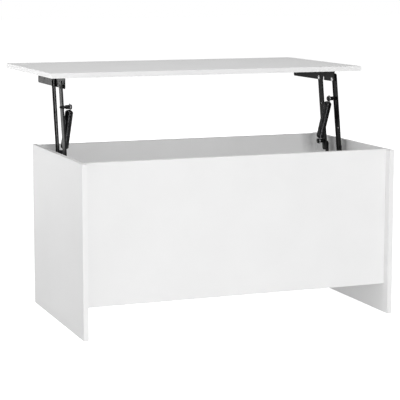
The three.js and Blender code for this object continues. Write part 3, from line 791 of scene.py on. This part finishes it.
def arm(which, pivot, top_pivot, open_holes):
    """The right hand arm between two pivots, with open_holes at distances above its lower pivot."""
    low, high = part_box(f"right_{which}_arm")
    between = top_pivot - pivot
    lean = Vector((between.y, between.z))
    body = channel(
        -ARM_END, lean.length + ARM_END, ARM_HALF_WIDTH, high.x - low.x, ARM_WALL, ARM_CORNER,
        ARM_BEND,
    )
    drills = bmesh.new()
    for at in open_holes:
        place = Matrix.Translation((0, at, 0))
        bmesh.ops.create_cone(
            drills, cap_ends=True, segments=HOLE_SIDES, radius1=OPEN_HOLE, radius2=OPEN_HOLE,
            depth=DRILL_LENGTH, matrix=place,
        )
    shape = bmesh.new()
    shape.from_mesh(cut_away(body, drills))
    along = lean.normalized()
    facing = 1 if which == "rear" else -1
    back = low.x if which == "rear" else high.x
    shape.transform(Matrix((
        (0, 0, facing, back),
        (facing * along.y, along.x, 0, pivot.y),
        (-facing * along.x, along.y, 0, pivot.z),
        (0, 0, 0, 1),
    )))
    return shape


ARM_END = 0.018
ARM_HALF_WIDTH = 0.015
ARM_WALL = 0.0016
ARM_CORNER = 0.008
ARM_BEND = 0.0018
OPEN_HOLE = 0.0025
DRILL_LENGTH = 0.02
upper_pivots = {}
for which in ("front", "rear"):
    low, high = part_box(f"right_{which}_upper_rivet")
    upper_pivots[which] = (low + high) / 2
holes_up_the_arm = {"front": [0.062], "rear": [0.104, 0.135]}
for side in ("left", "right"):
    for which in ("front", "rear"):
        steel_piece(
            f"{side}_{which}_channel",
            arm(which, lower_pivots[which], upper_pivots[which], holes_up_the_arm[which]),
            side, f"{side}_{which}_lever", f"{side}_{which}_arm", painted_steel,
        )


# Rivets: shouldered steel pins at the eight pivots, painted with the arms. Each has a wide domed
# head, bare and bright on the top brackets, a spacer, and a smaller head formed at its far end.
def domed(radius, height, steps=6):
    """Profile of a dome from its rim up to the axis, as (radius, height) points."""
    rim, soft = height * 0.35, 0.0002
    dome = [(radius - soft, 0.0), (radius, soft), (radius, rim)]
    for step in range(1, steps + 1):
        angle = math.pi / 2 * step / steps
        dome.append((radius * math.cos(angle), rim + (height - rim) * math.sin(angle)))
    dome[-1] = (0.0, height)
    return dome


def rivet_head():
    """A wide domed head that hangs below 0 on Z."""
    dome = [(radius, -height) for radius, height in reversed(domed(RIVET_HEAD_RADIUS, RIVET_HEAD))]
    return mesh_piece("rivet_head", turned([*dome, (0.0, 0.0)], RIVET_SIDES), bright_steel)


def rivet_pin(length, spacer_from, spacer_to):
    """A rivet from its head on: shank, spacer, and the smaller head formed over at the far end."""
    formed_dome = domed(FORMED_HEAD_RADIUS, RIVET_HEAD)
    formed = [(radius, length + height) for radius, height in formed_dome]
    shaft = [
        (0.0, 0.0), (RIVET_SHANK, 0.0), (RIVET_SHANK, spacer_from), (SPACER, spacer_from + STEP),
        (SPACER, spacer_to), (RIVET_SHANK, spacer_to + STEP), (RIVET_SHANK, length),
    ]
    return mesh_piece("rivet_pin", turned([*shaft, *formed], RIVET_SIDES), painted_steel)


bright_steel = grained_finish(
    "bright_steel", (0.7, 0.7, 0.71), (0.84, 0.84, 0.85), (0.26, 0.4), 0.0005, 0.006, 0.00001,
    Metallic=0.6,
)
RIVET_HEAD = 0.0017
RIVET_HEAD_RADIUS = 0.007
FORMED_HEAD_RADIUS = RIVET_HEAD_RADIUS * 0.86
STEP = 0.0001  # how far a turned shoulder slopes
RIVET_SHANK = 0.004
SPACER = 0.006
RIVET_SIDES = 40
ear_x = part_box("right_base_bracket")[0].x
web_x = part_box("right_top_bracket")[1].x
head_looks = {"lower": (painted_steel, "black_steel"), "upper": (bright_steel, "bare_steel")}
for which in ("front", "rear"):
    for level, body, pivots in (("lower", "box", lower_pivots), ("upper", "top", upper_pivots)):
        low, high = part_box(f"right_{which}_{level}_rivet")
        arm_low, arm_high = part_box(f"right_{which}_arm")
        length = high.x - low.x - 2 * RIVET_HEAD
        start = low.x + RIVET_HEAD
        if level == "lower":
            spacer_from, spacer_to = arm_high.x - start, ear_x - start
            if which == "rear":
                spacer_from = arm_low.x + ARM_WALL - start
        else:
            spacer_from, spacer_to = web_x - start, arm_low.x - start
            if which == "front":
                spacer_to = arm_high.x - ARM_WALL - start
        pivot = pivots[which]
        places = [((side * start, pivot.y, pivot.z), (side, 0.0, 0.0)) for side in (-1, 1)]
        rivets = [f"{side}_{which}_{level}_rivet" for side in ("left", "right")]
        fasteners(
            f"{which}_{level}_pins", rivet_pin(length, spacer_from, spacer_to), places,
            painted_steel, body, rivets,
        )
        head_finish, head_slot = head_looks[level]
        fasteners(f"{which}_{level}_heads", rivet_head(), places, head_finish, body, [])


# Spring bolts: a hexagon bolt through each arm carries a turned sleeve, and a spring hook pulls on
# the sleeve. The front arm's bolt has a lock nut outside, the rear arm's is riveted flush.
def hexagon_ring(corners, height, most=math.inf):
    """The points of a hexagon at height, its corners cut back to a radius of most."""
    ring = []
    for i in range(HEX_POINTS):
        angle = 2 * math.pi * i / HEX_POINTS
        past_flat = (angle % (math.pi / 3)) - math.pi / 6
        radius = min(corners * math.cos(math.pi / 6) / math.cos(past_flat), most)
        ring.append(Vector((radius * math.cos(angle), radius * math.sin(angle), height)))
    return ring


def hexagon_solid(bm, corners, bottom, top, chamfer_below, chamfer_above):
    """Adds a hexagon prism whose corners are turned down at its bottom, its top, or both."""
    flats = corners * math.cos(math.pi / 6) * 0.97
    slope = math.tan(math.radians(30))

    def rim(height, way):
        """The hexagon at height, its corners dropping back from it by way."""
        ring = hexagon_ring(corners, height)
        for point in ring:
            point.z += max(point.xy.length - flats, 0.0) * slope * way
        return ring

    rings = [rim(bottom, chamfer_below), rim(top, -chamfer_above)]
    if chamfer_below:
        rings.insert(0, hexagon_ring(corners, bottom, flats))
    if chamfer_above:
        rings.append(hexagon_ring(corners, top, flats))
    loops = [[bm.verts.new(point) for point in ring] for ring in rings]
    for lower, upper in zip(loops, loops[1:]):
        for i in range(HEX_POINTS):
            on = (i + 1) % HEX_POINTS
            bm.faces.new((lower[i], lower[on], upper[on], upper[i]))
    bm.faces.new(list(reversed(loops[0])))
    bm.faces.new(loops[-1])


def along_x(bm, x, centre):
    """Turns a shape that stands on Z to lie along +x from x, its axis through centre."""
    bm.transform(Matrix((
        (0, 0, 1, x), (1, 0, 0, centre.y), (0, 1, 0, centre.z), (0, 0, 0, 1),
    )))
    return bm


def threaded(radius, start, end, pitch):
    """Profile of a threaded stretch as fine ridges, with a chamfered end."""
    profile, at = [], start
    while at + pitch < end - pitch:
        profile += [(radius - THREAD_DEPTH, at + pitch * 0.1), (radius, at + pitch * 0.5)]
        at += pitch
    return profile + [(radius - THREAD_DEPTH, end - pitch), (radius - 2 * THREAD_DEPTH, end)]


def spring_bolt(low, high, centre, head, thread_from):
    """Hexagon head towards the table's middle, plain shank, then thread or a flush riveted end."""
    bm = bmesh.new()
    hexagon_solid(bm, (high.y - low.y) / 2, 0.0, head, True, False)
    length = high.x - low.x
    profile = [(0.0, head / 2), (BOLT_SHANK, head / 2)]
    if thread_from is None:
        flush, chamfer, taper = SPACER - 0.001, 0.0003, 0.0004
        profile += [
            (BOLT_SHANK, length - RIVET_HEAD), (flush, length - RIVET_HEAD + STEP),
            (flush, length - chamfer), (flush - taper, length),
        ]
    else:
        profile += [(BOLT_SHANK, thread_from), *threaded(BOLT_SHANK, thread_from, length, PITCH)]
    add_shape(bm, turned([*profile, (0.0, length)], BOLT_SIDES))
    return along_x(bm, low.x, centre)


def turned_ring(profile, segments):
    """A closed turned ring about Z from the (radius, height) points round its section."""
    bm = bmesh.new()
    rings = [circle(bm, radius, height, segments) for radius, height in profile]
    for lower, upper in zip(rings, rings[1:] + rings[:1]):
        for i in range(segments):
            on = (i + 1) % segments
            bm.faces.new((lower[i], lower[on], upper[on], upper[i]))
    bmesh.ops.recalc_face_normals(bm, faces=bm.faces[:])
    return bm


def sleeve(low, high, centre, neck_from, collar_from):
    """A turned tube with a softened lip, a groove for the hook and a neck, then a collar if any."""
    radius, length = (high.y - low.y) / 2, high.x - low.x
    lip, groove_at, groove = 0.0004, 0.0012, 0.0002
    neck_at = neck_from - low.x
    bore = BOLT_SHANK + BORE_PLAY
    section = [
        (bore, 0.0), (radius - lip, 0.0), (radius, lip), (radius, groove_at),
        (radius - groove, groove_at + groove), (radius - groove, neck_at - lip - groove),
        (radius, neck_at - lip), (radius - lip, neck_at), (NECK_RADIUS, neck_at),
    ]
    if collar_from is None:
        section.append((NECK_RADIUS, length))
    else:
        collar_at = collar_from - low.x
        section += [
            (NECK_RADIUS, collar_at), (COLLAR_RADIUS - lip, collar_at),
            (COLLAR_RADIUS, collar_at + lip), (COLLAR_RADIUS, length),
        ]
    return along_x(turned_ring([*section, (bore, length)], SLEEVE_SIDES), low.x, centre)


def lock_nut(low, high, centre):
    """A hexagon nut with turned down corners and a rounded collar round the thread."""
    bm = bmesh.new()
    corners, height = (high.y - low.y) / 2, high.x - low.x
    collar, collar_from = corners * 0.78, height * 0.5
    hexagon_solid(bm, corners, 0.0, height * 0.72, True, True)
    add_shape(bm, turned([
        (0.0, collar_from), (collar, collar_from), (collar, height * 0.85),
        (corners * 0.72, height * 0.96), (corners * 0.6, height), (0.0, height),
    ], BOLT_SIDES))
    return along_x(bm, low.x, centre)


HEX_POINTS = 48
SLEEVE_SIDES = 48
BOLT_SIDES = 32
PITCH = 0.0008
BORE_PLAY = 0.0002  # between bolt and sleeve
COLLAR_CLEARANCE = 0.0008  # between the web and the collar
THREAD_DEPTH = 0.00025
NECK_RADIUS = 0.0033
COLLAR_RADIUS = 0.0055
BOLT_SHANK = 0.0025
NECK_CLEARANCE = 0.0006  # between the web and the shoulders of the upper sleeve
dark_steel = grained_finish(
    "dark_steel", (0.02, 0.02, 0.021), (0.05, 0.05, 0.052), (0.3, 0.44), 0.0004, 0.005, 0.00001,
    Metallic=1.0,
)
head_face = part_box("right_upper_sleeve")[0].x
web_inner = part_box("right_top_bracket")[1].x - SHEET
spring_ends = {}
arm_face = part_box("right_front_arm")[1].x
for level, which in (("upper", "front"), ("lower", "rear")):
    bolt_low, bolt_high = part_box(f"right_{level}_spring_bolt")
    sleeve_low, sleeve_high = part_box(f"right_{level}_sleeve")
    centre = (bolt_low + bolt_high) / 2
    spring_ends[level] = centre
    thread_from = collar_from = None
    if level == "upper":
        thread_from = arm_face - bolt_low.x
        collar_from = web_inner + SHEET + COLLAR_CLEARANCE
    for side in ("left", "right"):
        body = f"{side}_{which}_lever"
        steel_piece(
            f"{side}_{level}_bolt",
            spring_bolt(bolt_low, bolt_high, centre, head_face - bolt_low.x, thread_from),
            side, body, f"{side}_{level}_spring_bolt", painted_steel,
        )
        steel_piece(
            f"{side}_{level}_hook_sleeve",
            sleeve(sleeve_low, sleeve_high, centre, web_inner - NECK_CLEARANCE, collar_from),
            side, body, f"{side}_{level}_sleeve", dark_steel,
        )
nut_low, nut_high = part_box("right_spring_bolt_nut")
for side in ("left", "right"):
    steel_piece(
        f"{side}_lock_nut", lock_nut(nut_low, nut_high, spring_ends["upper"]), side,
        f"{side}_front_lever", f"{side}_spring_bolt_nut", painted_steel,
    )


# Springs: close wound coils of round steel wire that narrow to a cone at each end. Each is wound
# once between its hooks at the raised top's length, and is not attached to any moving body.
def coil_tree():
    """Geometry Nodes: a wire wound round Z from 0 to Length, its turns narrowing over each cone."""
    tree, entry, leaving = node_group(
        "wound_spring", "GeometryNodeTree",
        (
            ("Length", "Float"), ("Turns", "Float"), ("Points Per Turn", "Int"),
            ("Coil Radius", "Float"), ("Mouth Radius", "Float"), ("Cone", "Float"),
            ("Wire Radius", "Float"), ("Finish", "Material"),
        ),
        (("Geometry", "Geometry"),),
    )
    nodes, links = tree.nodes, tree.links

    def math_node(operation, first, second=None):
        node = nodes.new("ShaderNodeMath")
        node.operation = operation
        for socket, value in zip(node.inputs, (first, second)):
            if isinstance(value, (int, float)):
                socket.default_value = value
            elif value is not None:
                links.new(value, socket)
        return node.outputs["Value"]

    size = entry.outputs
    line = nodes.new("GeometryNodeCurvePrimitiveLine")
    count = math_node("MULTIPLY", size["Turns"], size["Points Per Turn"])
    resample = nodes.new("GeometryNodeResampleCurve")
    share = nodes.new("GeometryNodeSplineParameter").outputs["Factor"]
    height = math_node("MULTIPLY", share, size["Length"])
    from_end = math_node("SUBTRACT", size["Length"], height)
    nearest = math_node("MINIMUM", math_node("MINIMUM", height, from_end), size["Cone"])
    wider = math_node("SUBTRACT", size["Coil Radius"], size["Mouth Radius"])
    widening = math_node("DIVIDE", wider, size["Cone"])
    radius = math_node("ADD", size["Mouth Radius"], math_node("MULTIPLY", nearest, widening))
    angle = math_node("MULTIPLY", math_node("MULTIPLY", share, size["Turns"]), 2 * math.pi)
    place = nodes.new("ShaderNodeCombineXYZ")
    wind = nodes.new("GeometryNodeSetPosition")
    profile = add_node(tree, "GeometryNodeCurvePrimitiveCircle", Resolution=8)
    sweep = add_node(tree, "GeometryNodeCurveToMesh", Fill_Caps=True)
    realize = nodes.new("GeometryNodeRealizeInstances")
    material = nodes.new("GeometryNodeSetMaterial")
    links.new(math_node("MULTIPLY", radius, math_node("COSINE", angle)), place.inputs["X"])
    links.new(math_node("MULTIPLY", radius, math_node("SINE", angle)), place.inputs["Y"])
    links.new(height, place.inputs["Z"])
    links.new(line.outputs["Curve"], resample.inputs["Curve"])
    links.new(count, resample.inputs["Count"])
    links.new(resample.outputs["Curve"], wind.inputs["Geometry"])
    links.new(place.outputs["Vector"], wind.inputs["Position"])
    links.new(wind.outputs["Geometry"], sweep.inputs["Curve"])
    links.new(size["Wire Radius"], profile.inputs["Radius"])
    links.new(profile.outputs["Curve"], sweep.inputs["Profile Curve"])
    links.new(sweep.outputs["Mesh"], realize.inputs["Geometry"])
    links.new(realize.outputs["Geometry"], material.inputs["Geometry"])
    links.new(size["Finish"], material.inputs["Material"])
    links.new(material.outputs["Geometry"], leaving.inputs["Geometry"])
    return tree


def along_spring(side, start, way):
    """Places what is drawn along +z from the origin at start, with +z along the spring."""
    across = Vector((1.0, 0.0, 0.0))
    third = way.cross(across)
    return Matrix((
        (across.x, third.x, way.x, MIRROR[side] * start.x),
        (across.y, third.y, way.y, start.y),
        (across.z, third.z, way.z, start.z),
        (0.0, 0.0, 0.0, 1.0),
    ))


MIRROR = {"left": -1, "right": 1}
coil_low, coil_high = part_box("right_spring_coil")
coil_radius = (coil_high.x - coil_low.x) / 2
spring_x = (coil_high.x + coil_low.x) / 2
lower_end = Vector((spring_x, *spring_ends["lower"].yz))
upper_end = Vector((spring_x, *spring_ends["upper"].yz))
spring_way = (upper_end - lower_end).normalized()
COIL_FROM_BOLT = 0.0125
SPRING_WIRE = 0.0013
SPRING_CONE = 0.0045
SPRING_MOUTH = 0.0055
WIRE_GAP = 0.00012
turn_height = 2 * SPRING_WIRE + WIRE_GAP
coil_start = lower_end + spring_way * COIL_FROM_BOLT
coil_end = upper_end - spring_way * COIL_FROM_BOLT
coil_length = (coil_end - coil_start).length - 2 * SPRING_WIRE
spring_steel = grained_finish(
    "spring_steel", (0.05, 0.05, 0.052), (0.12, 0.12, 0.125), (0.2, 0.3), 0.0005, 0.004, 0.00001,
    Metallic=1.0,
)
spring_group = coil_tree()
for side in ("left", "right"):
    holder = bpy.data.objects.new("coil", bpy.data.meshes.new("coil"))
    collection.objects.link(holder)
    winding = holder.modifiers.new("wind", "NODES")
    winding.node_group = spring_group
    set_inputs(
        winding, Length=coil_length, Turns=coil_length / turn_height, Points_Per_Turn=22,
        Coil_Radius=coil_radius - SPRING_WIRE, Mouth_Radius=SPRING_MOUTH, Cone=SPRING_CONE,
        Wire_Radius=SPRING_WIRE, Finish=spring_steel,
    )
    wound = evaluated_mesh(holder)
    wound.transform(along_spring(side, coil_start + spring_way * SPRING_WIRE, spring_way))
    coil = mesh_piece(f"{side}_wound_spring", wound, spring_steel, smooth_below=60)
    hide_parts(f"{side}_spring_coil")
    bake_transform(coil)


# Spring hooks: thick wire bent into an open ring round each sleeve. The stem runs into the coil's
# mouth and ends in an upset head, which the cone of the coil can't pass.
def hook_route():
    """The wire's middle line: from inside the coil down the axis, off to one side, then round."""
    route = [
        Vector((0.0, 0.0, HOOK_REACH - HEAD_COVER)), Vector((0.0, 0.0, ring_radius + STEM_FOOT)),
    ]
    begin = math.radians(RING_FROM)
    start, start_way = route[-1], Vector((0.0, 0.0, -1.0))
    end = Vector((0.0, math.sin(begin), math.cos(begin))) * ring_radius
    end_way = Vector((0.0, math.cos(begin), -math.sin(begin)))
    pull = (end - start).length
    for step in range(1, HOOK_STEPS):
        t = step / HOOK_STEPS
        route.append(
            start * (2 * t**3 - 3 * t**2 + 1) + start_way * pull * (t**3 - 2 * t**2 + t)
            + end * (3 * t**2 - 2 * t**3) + end_way * pull * (t**3 - t**2)
        )
    sweep = math.radians(RING_SWEEP)
    for step in range(RING_STEPS + 1):
        angle = begin + sweep * step / RING_STEPS
        route.append(Vector((0.0, math.sin(angle), math.cos(angle))) * ring_radius)
    return route


def hook_mesh():
    """A hook with its ring round the origin and its stem up z, ending in the upset head."""
    wire = bpy.data.curves.new("hook", "CURVE")
    wire.dimensions = "3D"
    wire.bevel_depth = HOOK_WIRE
    wire.bevel_resolution = 4
    wire.use_fill_caps = True
    route = hook_route()
    spline = wire.splines.new("POLY")
    spline.points.add(len(route) - 1)
    for point, place in zip(spline.points, route):
        point.co = (*place, 1.0)
    holder = bpy.data.objects.new("hook", wire)
    collection.objects.link(holder)
    mesh = evaluated_mesh(holder)
    soft, under = 0.0006, HOOK_REACH - HOOK_HEAD
    head = turned([
        (0.0, under), (HOOK_HEAD_RADIUS - soft, under), (HOOK_HEAD_RADIUS, under + soft),
        (HOOK_HEAD_RADIUS, HOOK_REACH - soft), (HOOK_HEAD_RADIUS - soft, HOOK_REACH),
        (0.0, HOOK_REACH),
    ], BOLT_SIDES)
    head.from_mesh(mesh)
    bmesh.ops.remove_doubles(head, verts=head.verts[:], dist=MICRON)
    bmesh.ops.recalc_face_normals(head, faces=head.faces[:])
    made = bpy.data.meshes.new("hook")
    head.to_mesh(made)
    head.free()
    return made


HOOK_WIRE = 0.0017
HOOK_HEAD = 0.003
HOOK_HEAD_RADIUS = 0.0052
HEAD_COVER = 0.001  # of head above the end of the stem
STEM_FOOT = 0.0035  # from the ring to where the stem starts to swerve
RING_FROM, RING_SWEEP = 38, 302  # degrees
RING_PLAY = 0.0005  # between sleeve and ring
HOOK_STEPS = 10
RING_STEPS = 40
sleeve_low, sleeve_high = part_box("right_upper_sleeve")
ring_radius = (sleeve_high.y - sleeve_low.y) / 2 + RING_PLAY + HOOK_WIRE
HOOK_REACH = ring_radius + 0.012
hook_steel = grained_finish(
    "hook_steel", (0.42, 0.42, 0.43), (0.6, 0.6, 0.61), (0.26, 0.4), 0.0005, 0.004, 0.00001,
    Metallic=1.0,
)
for side in ("left", "right"):
    for level, body, start, way in (
        ("lower", "hook_low", lower_end, spring_way),
        ("upper", "hook_high", upper_end, -spring_way),
    ):
        mesh = hook_mesh()
        mesh.transform(along_spring(side, start, way))
        hook = mesh_piece(f"{side}_{level}_hook", mesh, hook_steel, smooth_below=SOFT_SHADED)
        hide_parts(f"{side}_{level}_spring_hook")
        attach(hook, f"{side}_{body}")


# Screws: zinc plated pan heads with a cross recess. Three hold each base bracket to its side board,
# and four hold each top bracket up to the top.
def screw_template(shank, length, head_radius, head):
    """A screw standing on Z: its thread runs up from 0 and its domed head lies below."""
    lower = [(radius, -height) for radius, height in reversed(domed(head_radius, head))]
    plain, point, pitch, cross_sunk = 0.001, 0.003, 0.0014, 0.0014
    body = turned([
        *lower, (shank, 0.0), *threaded(shank, plain, length - point, pitch), (0.0, length),
    ], BOLT_SIDES)
    tools = driver_cross(0.0009, 0.0046, -head - cross_sunk, -head + cross_sunk, 0.0001)
    return mesh_piece("screw_template", cut_away(body, tools), zinc_plate)


zinc_plate = grained_finish(
    "zinc_plate", (0.38, 0.385, 0.39), (0.52, 0.525, 0.53), (0.28, 0.44), 0.0004, 0.005, 0.00001,
    Metallic=1.0,
)
SCREW_SHANK = 0.0019
SCREW_LENGTH = 0.0127
SCREW_HEAD_RADIUS = 0.0045
SCREW_HEAD = 0.0024
for name, body, count in (("base", "box", 3), ("top", "top", 4)):
    places, nodes = [], []
    for side in ("left", "right"):
        for i in range(1, count + 1):
            node = f"{side}_{name}_screw_{i}"
            low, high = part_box(node)
            middle = (low + high) / 2
            nodes.append(node)
            if name == "top":
                places.append(((middle.x, middle.y, low.z + SCREW_HEAD), (0.0, 0.0, 1.0)))
            elif side == "right":
                places.append(((low.x + SCREW_HEAD, middle.y, middle.z), (1.0, 0.0, 0.0)))
            else:
                places.append(((high.x - SCREW_HEAD, middle.y, middle.z), (-1.0, 0.0, 0.0)))
    fasteners(
        f"{name}_screws",
        screw_template(SCREW_SHANK, SCREW_LENGTH, SCREW_HEAD_RADIUS, SCREW_HEAD),
        places, zinc_plate, body, nodes, seed=7, largest_roll=math.pi / 2,
    )
